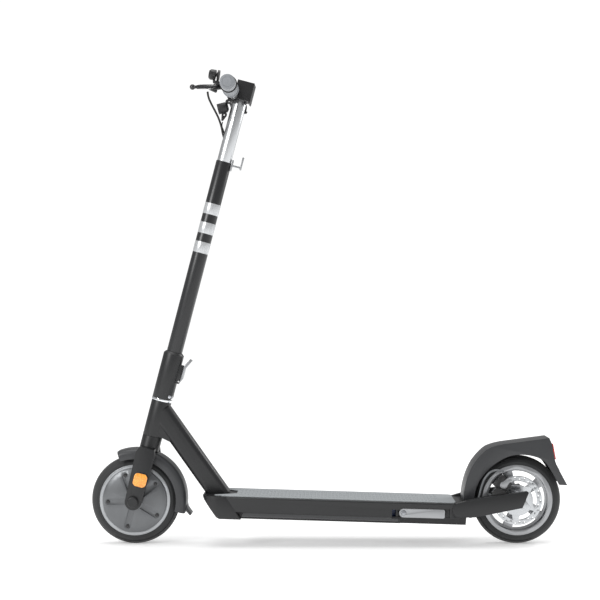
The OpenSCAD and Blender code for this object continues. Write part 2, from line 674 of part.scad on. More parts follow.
module kickstand() color("#b2b2b2") difference() {
  at_stand() side_plate(-stand_t / 2, stand_t / 2) {
    circle(r = stand_h / 2);
    translate([0, -stand_h / 2]) square([stand_len - 4, stand_h]);
    translate([stand_len - 5, -stand_h / 2 + 4]) square([5, stand_h - 8]);
    for (s = [-1, 1]) translate([stand_len - 4, s * (stand_h / 2 - 4)]) circle(r = 4);
  }
  at_stand() rotate([-splay, 0, 0]) {
    cross_rod(4, 40);
    cross_rod(6.2, 6, -stand_t / 2 - 2);
  }
}

// ------------------------------------------------------------------ rear end
module rear_axle() color("#9a9da0") at_rear() {
  cross_rod(axle_r, 2 * (arm_in + 10));
  both_sides() translate([0, arm_in - 4.2, 0]) rotate([90, 0, 0]) difference() {
    cylinder(r = 10, h = 8, center = true, $fn = 6);
    cylinder(r = axle_r, h = 10, center = true);
  }
}
module rear_rim() color("#a8aaad") at_rear() difference() {
  union() {
    difference() {
      cross_rod(rim_r, barrel_w);
      cross_rod(rim_r - 11, 90);
    }
    cross_rod(rim_r - 10, 10);
    cross_rod(24, 52);
  }
  cross_rod(axle_r + 2, 90);
  both_sides() cross_rod(14, 18, 25.9 - 5);
  for (i = [0:4]) rotate([0, i * 72, 0]) side_plate(-20, 20) polygon([
    for (p = arc(30, -22, 22, 4)) p, for (p = arc(rim_r - 16, 26, -26, 8)) p
  ]);
}
rotor_y = -27;
module brake_rotor() color("#c8cacc") at_rear() difference() {
  cross_rod(rotor_d / 2, 2, rotor_y);
  cross_rod(axle_r + 2, 90);
  for (i = [0:4]) rotate([0, i * 72 - 12, 0]) side_plate(-40, -20) polygon([
    for (p = arc(rotor_d / 2 - 22, -22, 22, 4)) p, for (p = arc(rotor_d / 2 - 13, 27, -27, 6)) p
  ]);
  for (i = [0:29]) rotate([0, i * 12, 0]) translate([rotor_d / 2 - 4 - 4 * (i % 2), 0, 0]) cross_rod(1.6, 90);
  for (i = [0:4]) rotate([0, i * 72, 0]) translate([18, 0, 0]) cross_rod(2, 90);
}
module rear_bearings() color("#c4c6c8") at_rear() both_sides() difference() {
  cross_rod(14, 9, 20.5);
  cross_rod(axle_r + running_gap, 90);
}
// the guard's side outline from the rear axle: the rise at its front, its back, and the wheel's arch
guard_rise = smooth([
  [-133, 10], [-131, 26], [-123, 58], [-107, 92], [-80, 122], [-58, 133], [-34, 138.5]
], 3);
guard_back = [[76, 153], [83, 137.5], [90, 98], [94, 86]];
guard_outer = concat([[-133, -2.2]], guard_rise, guard_back, [[120, 38]]);
guard_inner = concat(smooth([
  [100, 39], [80, 74], [66, 94], [46, 106], [16, 112], [-16, 110], [-42, 99], [-67, 81], [-88, 58],
  [-101, 34], [-107, 6]
], 3), [[-107, -2.2]]);
guard_wall = 3.4;
module rear_fender() color("#4a4b4d") at_rear() difference() {
  side_plate(-guard_w / 2, guard_w / 2) polygon(concat(guard_outer, guard_inner));
  side_plate(-guard_w / 2 + wall, guard_w / 2 - wall) polygon([
    [-90, -10], [-133 + guard_wall, -10],
    for (p = concat(guard_rise, guard_back)) p * (1 - guard_wall / norm(p)),
    [120, 30.5], for (p = guard_inner) 0.85 * p
  ]);
}
module tail_light() color("#d02a20") at_rear() side_plate(-22, 22)
  polygon([[83.3, 137.6], [90.3, 98.2], [95, 99.5], [88, 137]]);
module rear_reflector() color("#f0f0f0") at_rear() side_plate(-16, 16)
  polygon([[95.7, 83.6], [103, 70], [105.6, 71.4], [98.3, 85]]);
caliper_at = [-38, 38];
module at_caliper() at_rear() translate([caliper_at.x, 0, caliper_at.y]) rotate([0, 45, 0]) children();
module brake_caliper() color("#26262a") {
  difference() {
    union() {
      at_caliper() translate([-19, -46, -15]) cube([34, 32, 34]);
      at_rear() side_plate(-arm_in + 0.02, -45)
        polygon([[-66, 0], [-30, 4], [-30, 24], [-36, 28], [-56, 36], [-66, 24]]);
    }
    at_caliper() translate([-8, rotor_y - 3, -60]) cube([60, 6, 120]);
    // the inner half stays clear of the rim
    at_rear() difference() {
      cross_rod(rim_r + 30, 16, -16.5);
      cross_rod(rim_r - 13.5, 18, -16.5);
    }
    at_caliper() translate([0, -46, 2]) cross_rod(3.4, 20);
    at_rear() cross_rod(24.5, 90);
  }
  color("#8a6a50") at_caliper() for (y = [rotor_y - 2.95, rotor_y + 1.3])
    translate([-7.5, y, -12]) cube([16, 1.6, 24]);
}
module brake_arm() color("#b9bcc0") at_caliper() difference() {
  union() {
    translate([0, -48.2, 2]) cross_rod(9, 4);
    translate([0, -41.5, 2]) cross_rod(3.4 - running_gap, 9.5);
    side_plate(-50.2, -46.2) polygon([[-8, -1], [-5, 27], [4, 27], [8, 1]]);
  }
  translate([-1, -48, 23]) cross_rod(1.6, 20);
}
rear_route = [
  [-109, -50, -14], [-103, -50, -6], [-96, -51, 14], [-90, -52, 38], [-80, -52, 60], [-64, -51, 74],
  [-48, -50, 76], [-36, -49, 73]
];
module rear_brake_cable() color("#6f7173") at_rear() cable(rear_route, 2.5);

main_frame();
head_bearings();
deck_nose();
deck_tray();
bottom_cover();
cover_screws();
deck_mat();
led_strips();
battery_pack();
controller();
rear_arms();
rear_axle();
rear_fender();
tail_light();
rear_reflector();
brake_caliper();
rear_brake_cable();
kickstand_bolt();
charge_port();
charge_cap();
kickstand();
brake_arm();
fork();
steerer_tube();
collar_ring();
hinge_block();
front_axle();
fork_reflectors();
front_fender();
motor_stator();
front_tyre();
motor_shell();
hub_covers();
hub_screws();
motor_bearings();
rear_tyre();
rear_rim();
brake_rotor();
rear_bearings();
fold_sleeve();
fold_pin();
stem_tube_lower();
reflective_bands();
stem_tube_upper();
bag_hook();
head_housing();
display_lens();
handlebar();
grips();
brake_perch();
bell_body();
headlight_housing();
headlight_lens();
control_cables();
throttle_housing();
brake_lever();
throttle_lever();
fold_lever();
bell_striker();
power_button();
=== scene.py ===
import json
from functools import wraps
from math import atan2, cos, pi, radians, sin

import bpy
from bpy.props import FloatProperty, FloatVectorProperty, IntProperty, PointerProperty
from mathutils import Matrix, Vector


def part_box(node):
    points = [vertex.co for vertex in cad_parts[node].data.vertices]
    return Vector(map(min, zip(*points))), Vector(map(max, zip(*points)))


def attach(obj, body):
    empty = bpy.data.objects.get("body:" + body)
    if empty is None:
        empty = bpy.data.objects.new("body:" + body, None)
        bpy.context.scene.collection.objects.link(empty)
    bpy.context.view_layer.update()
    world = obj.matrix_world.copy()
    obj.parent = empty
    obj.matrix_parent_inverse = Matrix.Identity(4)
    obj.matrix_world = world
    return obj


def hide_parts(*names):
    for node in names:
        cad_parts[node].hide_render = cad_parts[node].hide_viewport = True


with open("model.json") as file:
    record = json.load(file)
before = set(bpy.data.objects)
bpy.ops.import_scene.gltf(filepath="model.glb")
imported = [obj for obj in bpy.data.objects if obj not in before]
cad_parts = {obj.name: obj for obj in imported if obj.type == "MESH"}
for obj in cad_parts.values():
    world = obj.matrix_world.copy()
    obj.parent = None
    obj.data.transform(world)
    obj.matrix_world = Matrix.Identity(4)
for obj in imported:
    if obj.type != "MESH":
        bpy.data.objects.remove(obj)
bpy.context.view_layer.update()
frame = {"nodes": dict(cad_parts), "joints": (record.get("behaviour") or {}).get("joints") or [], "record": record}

bl_info = {
    "name": "Electric kick scooter",
    "version": (1, 0, 0),
    "blender": (4, 5, 0),
    "location": "3D View > Sidebar > Scooter",
    "description": "Dresses the packed kick scooter in its finished pieces and materials",
    "category": "Object",
}

MM = 0.001
SAME_PLACE = 0.004 * MM  # vertices nearer than this are one
SMOOTH_ANGLE = 32        # edges sharper than this, in degrees, stay edges
NODES = frame["nodes"]
BODY_OF = {n: b for b, ns in frame["record"]["behaviour"]["bodies"].items() for n in ns}
JOINTS = {j["name"]: j for j in frame["joints"]}
SIDEWAYS = Vector((0.0, 1.0, 0.0))


def node_box(name):
    """A node's lowest and highest corner as vectors."""
    low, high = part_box(name)
    return Vector(low), Vector(high)


def node_middle(name):
    low, high = node_box(name)
    return (low + high) / 2


def node_half(name):
    """Half of a node's size along X, Y and Z."""
    low, high = node_box(name)
    return (high - low) / 2


FRONT_AXLE = node_middle("front_tyre")
REAR_AXLE = node_middle("rear_tyre")
TYRE_R = node_half("front_tyre").z
TYRE_HALF = node_half("front_tyre").y
STEM_AXIS = Vector(JOINTS["steering"]["axis"]).normalized()
RAKE = atan2(STEM_AXIS.x, STEM_AXIS.z)


# ---------------------------------------------------------------- sizes and colours
def colour(name, hex_value):
    """A colour property whose default is an sRGB hex value."""
    return FloatVectorProperty(
        name=name, description=f"Colour of the {name.lower()}", subtype="COLOR_GAMMA", size=3,
        min=0, max=1, default=[int(hex_value[i:i + 2], 16) / 255 for i in (1, 3, 5)])


def length(name, default_mm, description):
    return FloatProperty(
        name=name, description=description, subtype="DISTANCE", unit="LENGTH",
        min=0, default=default_mm * MM)


class ScooterColours(bpy.types.PropertyGroup):
    """Colours of the finishes."""
    coat: colour("Powder coat", "#141517")
    stem_coat: colour("Stem coat", "#191A1C")
    anodised: colour("Anodised tube", "#D2D4D6")
    hub: colour("Hub covers", "#6E7072")
    alloy: colour("Cast alloy", "#B4B6B8")
    moulding: colour("Black mouldings", "#151517")
    guard: colour("Mudguards", "#37383A")
    tyre: colour("Tyres", "#262728")
    grip: colour("Grips", "#86898D")
    mat: colour("Foot mat", "#9DA1A4")
    tape: colour("Reflective tape", "#D4D6D8")
    # The side reflectors' amber, which also tints their painted glow.
    amber: colour("Side reflectors", "#FFA040")
    red: colour("Tail light", "#D8281E")
    glow: colour("Light strips", "#1B1D21")


class ScooterSizes(bpy.types.PropertyGroup):
    """Sizes of the fine detail."""
    groove_depth: length("Tread groove", 1.6, "Depth of the grooves in the tyres' tread")
    tread_blocks: IntProperty(
        name="Tread blocks", description="Blocks round each tyre", min=24, max=96, default=60)


def colours():
    return bpy.context.scene.scooter_colours


def sizes():
    return bpy.context.scene.scooter_sizes


# ---------------------------------------------------------------- materials
def linear(srgb):
    """sRGB values made linear, with an alpha of 1."""
    return [c / 12.92 if c <= 0.04045 else ((c + 0.055) / 1.055) ** 2.4 for c in srgb] + [1.0]


def shade(srgb, factor):
    return [min(1.0, c * factor) for c in srgb]


def add(material, kind, links=None, **settings):
    """Adds a node to a material, sets its inputs or properties, and links outputs into it."""
    tree = material.node_tree
    new = tree.nodes.new(kind)
    for key, value in settings.items():
        if key in new.inputs:
            new.inputs[key].default_value = value
        else:
            setattr(new, key, value)
    for socket, output in (links or {}).items():
        tree.links.new(output, new.inputs[socket])
    return new


def ramp(material, source, stops):
    """A colour ramp with (place, linear colour) stops."""
    new = add(material, "ShaderNodeValToRGB", {"Fac": source})
    points = new.color_ramp.elements
    while len(points) < len(stops):
        points.new(0.5)
    for point, (place, value) in zip(points, stops):
        point.position = place
        point.color = value
    return new.outputs["Color"]


def made_once(make):
    """Lets a material be made on the first call for its name, and found again after that."""
    @wraps(make)
    def find_or_make(name, *values, **settings):
        return bpy.data.materials.get(name) or make(name, *values, **settings)
    return find_or_make


def finish_of(name, **shader):
    """A new material, its Principled shader and its Object coordinate."""
    material = bpy.data.materials.new(name)
    material.use_nodes = True
    bsdf = material.node_tree.nodes["Principled BSDF"]
    for key, value in shader.items():
        bsdf.inputs[key].default_value = value
    place = add(material, "ShaderNodeTexCoord").outputs["Object"]
    return material, bsdf, place


def mottled(material, texture, srgb, low, high):
    """A tint that follows a texture, between two shades of a colour."""
    return ramp(material, texture, [
        (0.3, linear(shade(srgb, low))), (0.7, linear(shade(srgb, high)))])


def dress(material, bsdf, tint, height, rough, bump_mm, strength=1.0):
    """Gives a shader its tint, and the gloss and bump that follow a texture's height."""
    tree = material.node_tree
    tree.links.new(tint, bsdf.inputs["Base Color"])
    gloss = add(material, "ShaderNodeMapRange", {"Value": height})
    gloss.inputs["To Min"].default_value, gloss.inputs["To Max"].default_value = rough
    tree.links.new(gloss.outputs[0], bsdf.inputs["Roughness"])
    bump = add(material, "ShaderNodeBump", {"Height": height}, Strength=strength,
               Distance=bump_mm * MM)
    tree.links.new(bump.outputs[0], bsdf.inputs["Normal"])
    return material


@made_once
def grained(name, srgb, grain_mm, bump_mm, mottle=0.1, rough=(0.4, 0.55), stretch=None, **shader):
    """A finish with a fine bump, slightly uneven colour and uneven gloss.

    grain_mm is the size of its grain and bump_mm its height; stretch scales it along X, Y and Z.
    """
    material, bsdf, place = finish_of(name, **shader)
    if stretch:
        upright = add(material, "ShaderNodeMapping", {"Vector": place}, Rotation=(0, -RAKE, 0))
        drawn = add(material, "ShaderNodeMapping", {"Vector": upright.outputs[0]}, Scale=stretch)
        place = drawn.outputs[0]
    grain = add(material, "ShaderNodeTexNoise", {"Vector": place}, Scale=1 / (grain_mm * MM),
                Detail=4.0)
    cloud = add(material, "ShaderNodeTexNoise", {"Vector": place}, Scale=18.0, Detail=3.0)
    tint = mottled(material, cloud.outputs["Fac"], srgb, 1 - mottle, 1 + mottle)
    return dress(material, bsdf, tint, grain.outputs["Fac"], rough, bump_mm)


def powder_coat():
    """Polyester powder coat on alloy: a satin skin with a fine orange peel."""
    return grained("powder_coat_satin", colours().coat, 1.6, 0.05, 0.04, (0.36, 0.46),
                   **{"IOR": 1.5, "Coat Weight": 0.15, "Coat Roughness": 0.35})


def stem_coat():
    """The same coat on the turned tubes, a shade darker."""
    return grained("powder_coat_stem", colours().stem_coat, 1.6, 0.04, 0.03, (0.3, 0.4),
                   **{"IOR": 1.5, "Coat Weight": 0.25, "Coat Roughness": 0.3})


def anodised_aluminium():
    """Clear anodised aluminium tube: drawn lines along it and a soft metal shine."""
    return grained("anodised_aluminium", colours().anodised, 1.2, 0.012, 0.03, (0.26, 0.36),
                   stretch=(1.0, 1.0, 0.04), Metallic=1.0)


def turned_steel():
    """Turned steel: bright, with a fine uneven shine."""
    return grained("turned_steel", [0.74, 0.75, 0.77], 0.8, 0.01, 0.05, (0.22, 0.36), Metallic=1.0)


def cast_alloy():
    """Die-cast alloy, shot-blasted: a pale satin metal with a fine grain."""
    return grained("cast_alloy", colours().alloy, 1.0, 0.03, 0.05, (0.34, 0.46), Metallic=0.85)


def hub_paint():
    """Metallic satin paint on the motor's covers."""
    return grained("hub_metallic_paint", colours().hub, 1.0, 0.02, 0.05, (0.34, 0.44),
                   Metallic=0.7, **{"Coat Weight": 0.2, "Coat Roughness": 0.3})


def moulded_abs():
    """Black ABS moulding with a spark-eroded grain."""
    return grained("moulded_abs", colours().moulding, 0.9, 0.05, 0.05, (0.42, 0.56), IOR=1.53)


def guard_plastic():
    """Tough black polypropylene of the mudguards: a finer, slightly glossier moulding."""
    return grained("guard_polypropylene", colours().guard, 1.1, 0.03, 0.05, (0.34, 0.46), IOR=1.5)


def black_metal():
    """E-coated cast metal of levers and callipers."""
    return grained("e_coated_black", [0.13, 0.13, 0.135], 0.8, 0.02, 0.08, (0.28, 0.42), IOR=1.5,
                   **{"Coat Weight": 0.3, "Coat Roughness": 0.25})


def tyre_rubber():
    """Vulcanised tyre rubber: matt, with a dusty sheen."""
    return grained("tyre_rubber", colours().tyre, 1.3, 0.09, 0.08, (0.62, 0.8), IOR=1.5,
                   **{"Sheen Weight": 0.15, "Sheen Roughness": 0.5})


def black_rubber():
    """Black rubber of boots, caps and cable sheaths."""
    return grained("black_rubber", [0.1, 0.1, 0.105], 1.0, 0.03, 0.08, (0.4, 0.55), IOR=1.5)


def sheath_grey():
    """Grey sheath of the rear brake cable."""
    return grained("cable_sheath_grey", [0.42, 0.43, 0.44], 1.0, 0.02, 0.05, (0.35, 0.5), IOR=1.5)


def copper():
    """Enamelled copper windings."""
    return grained("enamelled_copper", [0.72, 0.42, 0.28], 1.0, 0.1, 0.12, (0.3, 0.45),
                   Metallic=1.0)


def battery_wrap():
    """Blue shrink wrap round the cells."""
    return grained("shrink_wrap", [0.2, 0.34, 0.62], 3.0, 0.1, 0.05, (0.25, 0.4), IOR=1.5)


@made_once
def honeycomb(name, srgb):
    """A bright film over a fine honeycomb of cells, drawn coarse enough to show."""
    material, bsdf, place = finish_of(name, Metallic=0.55, Roughness=0.3)
    cells = add(material, "ShaderNodeTexVoronoi", {"Vector": place}, Scale=1 / (2.4 * MM),
                feature="DISTANCE_TO_EDGE")
    tint = ramp(material, cells.outputs["Distance"], [
        (0.02, linear(shade(srgb, 0.86))), (0.12, linear(srgb))])
    material.node_tree.links.new(tint, bsdf.inputs["Base Color"])
    return material


def retro_tape():
    """Retroreflective tape of the stem's bands: bright silver."""
    return honeycomb("retroreflective_tape", colours().tape)


@made_once
def prismatic(name, srgb, glow):
    """Moulded acrylic of a reflector or lamp: prisms under a glossy face, and a glow, if any. The glow is emission
    in the prism tint: a lamp's own light, and a painted glow on reflectors and other parts that are no lamp.
    """
    material, bsdf, place = finish_of(
        name, Roughness=0.16, IOR=1.49, **{"Coat Weight": 0.6, "Coat Roughness": 0.05})
    prisms = add(material, "ShaderNodeTexVoronoi", {"Vector": place}, Scale=1 / (3.2 * MM))
    tint = ramp(material, prisms.outputs["Distance"], [
        (0.0, linear(shade(srgb, 1.12))), (0.7, linear(shade(srgb, 0.84)))])
    tree = material.node_tree
    tree.links.new(tint, bsdf.inputs["Base Color"])
    # The tint also glows: a lamp's own light, and a painted glow where the part is no lamp.
    tree.links.new(tint, bsdf.inputs["Emission Color"])
    bsdf.inputs["Emission Strength"].default_value = glow
    bump = add(material, "ShaderNodeBump", {"Height": prisms.outputs["Distance"]}, Strength=0.6,
               Distance=0.25 * MM)
    tree.links.new(bump.outputs[0], bsdf.inputs["Normal"])
    return material


@made_once
def dusty_glass(name, roughness):
    """Nearly black glass, mirror smooth, with the faintest dust."""
    material, bsdf, place = finish_of(
        name, IOR=1.52, Roughness=roughness, **{"Coat Weight": 1.0, "Coat Roughness": 0.02})
    dust = add(material, "ShaderNodeTexNoise", {"Vector": place}, Scale=400.0)
    tint = ramp(material, dust.outputs["Fac"], [
        (0.4, linear([0.03, 0.035, 0.04])), (0.7, linear([0.06, 0.065, 0.07]))])
    material.node_tree.links.new(tint, bsdf.inputs["Base Color"])
    return material


def dark_glass():
    """Tinted glass over the display."""
    return dusty_glass("tinted_glass", 0.08)


@made_once
def brushed_round(name, srgb, centre, pitch_mm, rough):
    """Steel brushed in rings round a wheel's axle."""
    material, bsdf, place = finish_of(name, Metallic=1.0)
    moved = add(material, "ShaderNodeVectorMath", {0: place}, operation="SUBTRACT")
    moved.inputs[1].default_value = centre
    flat = add(material, "ShaderNodeVectorMath", {0: moved.outputs[0]}, operation="MULTIPLY")
    flat.inputs[1].default_value = (1.0, 0.0, 1.0)
    radius = add(material, "ShaderNodeVectorMath", {0: flat.outputs[0]}, operation="LENGTH")
    rings = add(material, "ShaderNodeTexNoise", {"W": radius.outputs["Value"]},
                noise_dimensions="1D", Scale=1 / (pitch_mm * MM), Detail=3.0)
    tint = mottled(material, rings.outputs["Fac"], srgb, 0.88, 1.06)
    return dress(material, bsdf, tint, rings.outputs["Fac"], rough, 0.02, strength=0.8)


def disc_steel():
    """Stainless brake disc, ground in rings by its pads."""
    return brushed_round("stainless_disc", [0.78, 0.79, 0.8], REAR_AXLE, 1.1, (0.2, 0.36))


def rim_alloy():
    """Turned alloy of the motor's shell."""
    return brushed_round("turned_alloy", [0.68, 0.69, 0.7], FRONT_AXLE, 1.6, (0.28, 0.4))


def chrome():
    """Chrome plate of the headset's collar."""
    return grained("chrome_plate", [0.9, 0.91, 0.92], 1.0, 0.004, 0.02, (0.06, 0.14), Metallic=1.0)


def mat_rubber():
    """Grey rubber of the foot mat, with a fine cloth-like grain."""
    return grained("mat_rubber", colours().mat, 1.2, 0.12, 0.05, (0.66, 0.82), IOR=1.5)


def grip_rubber():
    """Soft grey rubber of the grips."""
    return grained("thermoplastic_grip", colours().grip, 1.0, 0.05, 0.05, (0.5, 0.66), IOR=1.5,
                   **{"Sheen Weight": 0.2, "Sheen Roughness": 0.4})


def amber():
    """Amber acrylic of the side reflectors, with a painted glow of strength 0.32, though a reflector is no lamp.
    """
    return prismatic("amber_acrylic", colours().amber, 0.32)


def red_lamp_and_painted_glow():
    """Red acrylic of the tail light and the power button: the tail lamp's glow is its own light, the power
    button's is the same glow painted on a part that is no lamp.
    """
    return prismatic("red_acrylic", colours().red, 0.25)


def clear_reflector_painted_glow():
    """Clear acrylic of the rear reflector, with a painted glow of strength 0.12, though a reflector is no lamp."""
    return prismatic("clear_acrylic", [0.9, 0.91, 0.93], 0.12)


def light_strip():
    """Light strip behind its smoked cover, switched off."""
    return prismatic("diffused_light_strip", colours().glow, 0.0)


def lamp_glass():
    """Clear polycarbonate of the headlight, over its bright bowl."""
    return prismatic("clear_polycarbonate", [0.86, 0.88, 0.9], 0.05)


# ---------------------------------------------------------------- modelling
def start():
    """Leaves edit mode and selects nothing."""
    if bpy.context.object and bpy.context.object.mode != "OBJECT":
        bpy.ops.object.mode_set(mode="OBJECT")
    bpy.ops.object.select_all(action="DESELECT")


def pick(piece):
    start()
    piece.select_set(True)
    bpy.context.view_layer.objects.active = piece


def edit(piece, chosen=None, kind="FACE"):
    """Opens a piece's mesh with only the chosen faces or edges selected, or all of them."""
    pick(piece)
    bpy.ops.object.mode_set(mode="EDIT")
    bpy.ops.mesh.select_mode(type=kind)
    bpy.ops.mesh.select_all(action="SELECT" if chosen is None else "DESELECT")
    if chosen is None:
        return
    bpy.ops.object.mode_set(mode="OBJECT")
    mesh = piece.data
    for part in (mesh.polygons if kind == "FACE" else mesh.edges):
        part.select = chosen(mesh, part)
    bpy.ops.object.mode_set(mode="EDIT")


def finish_piece(piece, name, material, node, angle=SMOOTH_ANGLE):
    """Names, dresses and smooths a piece that stands for its CAD node and rides on its body."""
    pick(piece)
    bpy.ops.object.transform_apply(location=True, rotation=True, scale=True)
    bpy.ops.object.shade_smooth_by_angle(angle=radians(angle))
    piece.name = piece.data.name = name
    piece.data.materials.clear()
    piece.data.materials.append(material)
    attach(piece, BODY_OF[node])
    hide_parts(node)
    start()
    return piece


def modify(piece, kind, **settings):
    """Adds a modifier, sets it and applies it."""
    pick(piece)
    modifier = piece.modifiers.new(kind.title(), kind)
    for key, value in settings.items():
        setattr(modifier, key, value)
    bpy.ops.object.modifier_apply(modifier=modifier.name)


def soften(piece, width_mm, segments=2, angle=40, **settings):
    """Rounds a piece's edges that are sharper than an angle in degrees."""
    modify(piece, "BEVEL", width=width_mm * MM, segments=segments, limit_method="ANGLE",
           angle_limit=radians(angle), use_clamp_overlap=True, **settings)


def copy_of(node):
    """A copy of a CAD node with its loose triangles merged into clean faces."""
    piece = NODES[node].copy()
    piece.data = NODES[node].data.copy()
    piece.parent = None
    for key in [k for k in piece.keys() if k.startswith("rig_")]:
        del piece[key]
    bpy.context.scene.collection.objects.link(piece)
    piece.hide_render = piece.hide_viewport = False
    edit(piece)
    bpy.ops.mesh.remove_doubles(threshold=SAME_PLACE)
    bpy.ops.mesh.customdata_custom_splitnormals_clear()
    bpy.ops.mesh.dissolve_limited(angle_limit=radians(0.6))
    start()
    return piece


def refine(node, name, material, edge_mm, segments=2):
    """A CAD node's piece with its edges rounded as casting, moulding or deburring leaves them."""
    piece = copy_of(node)
    soften(piece, edge_mm, segments, SMOOTH_ANGLE, miter_outer="MITER_ARC")
    return finish_piece(piece, name, material, node)


def second_tone(piece, material, test):
    """Gives a piece's faces whose middle passes the test a second material."""
    piece.data.materials.append(material)
    for face in piece.data.polygons:
        if test(face.center):
            face.material_index = 1


def join(parts):
    start()
    for part in parts:
        part.select_set(True)
    bpy.context.view_layer.objects.active = parts[0]
    if len(parts) > 1:
        bpy.ops.object.join()
    start()
    return parts[0]


def line_of(points):
    """An outline drawn point by point: a vertex is set down and extruded along."""
    start()
    bpy.ops.mesh.primitive_plane_add(size=MM, location=points[0])
    piece = bpy.context.object
    bpy.ops.object.mode_set(mode="EDIT")
    bpy.ops.mesh.select_mode(type="VERT")
    bpy.ops.mesh.select_all(action="SELECT")
    bpy.ops.mesh.merge(type="CENTER")
    for here, there in zip(points, points[1:]):
        step = Vector(there) - Vector(here)
        bpy.ops.mesh.extrude_region_move(TRANSFORM_OT_translate={"value": step})
    return piece


def turned(points, centre, axis, across, steps=96, angle=2 * pi, closed=False):
    """A piece turned about an axle from (radius, along) points, the first radius along across."""
    centre, axis, across = Vector(centre), Vector(axis).normalized(), Vector(across).normalized()
    loop = list(points) + ([points[0]] if closed else [])
    piece = line_of([centre + across * r + axis * a for r, a in loop])
    bpy.ops.mesh.select_all(action="SELECT")
    bpy.ops.mesh.spin(steps=steps, angle=angle, center=centre, axis=axis)
    bpy.ops.mesh.select_all(action="SELECT")
    bpy.ops.mesh.remove_doubles(threshold=SAME_PLACE)
    bpy.ops.mesh.normals_make_consistent(inside=False)
    start()
    return piece


def arc(radius, start_deg, end_deg, count, middle=(0.0, 0.0)):
    """Points along a round stretch of an outline."""
    turns = [radians(start_deg + (end_deg - start_deg) * i / count) for i in range(count + 1)]
    return [(middle[0] + radius * cos(t), middle[1] + radius * sin(t)) for t in turns]


# ---------------------------------------------------------------- pieces
class PieceOperator:
    bl_options = {"REGISTER", "UNDO"}

    def execute(self, context):
        self.make()
        return {"FINISHED"}


def cut_tread(tyre, axle):
    """Sinks two grooves round a tyre and rows of short ones across its shoulders."""
    step = 2 * pi / (4 * sizes().tread_blocks)

    def in_groove(mesh, face):
        arm = face.center - axle
        side = abs(arm.y)
        if Vector((arm.x, 0, arm.z)).length < TYRE_R - 12 * MM or face.normal.dot(arm) < 0:
            return False
        place = int((atan2(arm.z, arm.x) + 2 * pi) / step) % 4
        ring = 5.0 * MM < side < 7.2 * MM
        return ring or (9 * MM < side < 20 * MM and place == (0 if arm.y > 0 else 2))

    edit(tyre, in_groove)
    bpy.ops.mesh.extrude_region_shrink_fatten(
        TRANSFORM_OT_shrink_fatten={"value": -sizes().groove_depth})
    start()


def make_tyre(node, name, axle):
    """A tyre: a round section with a flat crown, a raised ring on each wall and a cut tread."""
    rim = TYRE_R - 22 * MM
    middle = TYRE_R - 24.2 * MM
    outer = []
    for r, a in arc(TYRE_HALF, -84, 84, 56):
        turn = abs(atan2(a, r)) * 180 / pi
        lift = 0.5 * MM if 64 < turn < 72 else 0.0
        shrink = 1 + (lift - 0.5 * MM) / TYRE_HALF
        outer.append((min(middle + r * shrink, TYRE_R), a * shrink))
    inner = [(rim, TYRE_HALF - 6 * MM), (middle + 12 * MM, 14 * MM), (middle + 17 * MM, 0.0),
             (middle + 12 * MM, -14 * MM), (rim, 6 * MM - TYRE_HALF)]
    tyre = turned(outer + inner, axle, SIDEWAYS, (1, 0, 0), steps=4 * sizes().tread_blocks,
                  closed=True)
    cut_tread(tyre, axle)
    finish_piece(tyre, name, tyre_rubber(), node, angle=28)


class SCOOTER_OT_tyres(PieceOperator, bpy.types.Operator):
    """Models both tyres with their treads"""
    bl_idname = "scooter.tyres"
    bl_label = "Tyres"

    def make(self):
        make_tyre("front_tyre", "tyre_front", FRONT_AXLE)
        make_tyre("rear_tyre", "tyre_rear", REAR_AXLE)


class SCOOTER_OT_wheels(PieceOperator, bpy.types.Operator):
    """Finishes the motor's shell and covers, the rear rim and the brake disc"""
    bl_idname = "scooter.wheels"
    bl_label = "Wheels"

    def make(self):
        refine("motor_shell", "hub_motor_shell", rim_alloy(), 0.6)
        refine("hub_covers", "hub_motor_covers", hub_paint(), 0.5)
        refine("hub_screws", "hub_motor_screws", black_metal(), 0.4)
        refine("rear_rim", "rim_rear", cast_alloy(), 0.8)
        refine("brake_rotor", "brake_disc", disc_steel(), 0.2)


class SCOOTER_OT_fork(PieceOperator, bpy.types.Operator):
    """Finishes the fork, its axle, the headset collar and the knuckle under the stem"""
    bl_idname = "scooter.fork"
    bl_label = "Fork"

    def make(self):
        refine("fork", "fork_legs", powder_coat(), 1.6, 3)
        refine("front_axle", "axle_front", turned_steel(), 0.5)
        self.axle_caps()
        refine("collar_ring", "headset_collar", chrome(), 0.8)
        refine("hinge_block", "stem_knuckle", cast_alloy(), 0.8)

    def axle_caps(self):
        """Smooth caps over the axle's nuts."""
        reach = node_box("front_axle")[1].y
        foot = node_box("fork")[1].y
        depth, radius, bend = reach + 1 * MM - foot, 13 * MM, 3 * MM
        caps = []
        for side in (1, -1):
            outline = [(radius, 0.0)] + arc(bend, 0, 90, 5, (radius - bend, depth - bend))
            outline += [(0.0, depth)]
            caps.append(turned(outline, FRONT_AXLE + SIDEWAYS * side * foot, SIDEWAYS * side,
                               (0, 0, 1), steps=48))
        cap = join(caps)
        cap.name = cap.data.name = "axle_caps"
        cap.data.materials.append(powder_coat())
        bpy.context.view_layer.objects.active = cap
        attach(cap, BODY_OF["fork"])


class SCOOTER_OT_reflectors(PieceOperator, bpy.types.Operator):
    """Parts the side reflectors into a black seat and an amber lens, and finishes the lamps"""
    bl_idname = "scooter.reflectors"
    bl_label = "Reflectors and lamps"

    def make(self):
        lens_thickness = 2.6 * MM
        seat_face = node_box("fork_reflectors")[1].y - lens_thickness
        # The side reflectors' amber lens glows with painted light.
        reflectors = refine("fork_reflectors", "side_reflectors", amber(), 0.9, 3)
        second_tone(reflectors, moulded_abs(), lambda middle: abs(middle.y) < seat_face + 2.5 * MM)
        refine("tail_light", "tail_lamp", red_lamp_and_painted_glow(), 0.8)
        # The rear reflector glows with painted light.
        refine("rear_reflector", "tail_reflector", clear_reflector_painted_glow(), 0.6)
        refine("led_strips", "light_strips", light_strip(), 0.5)


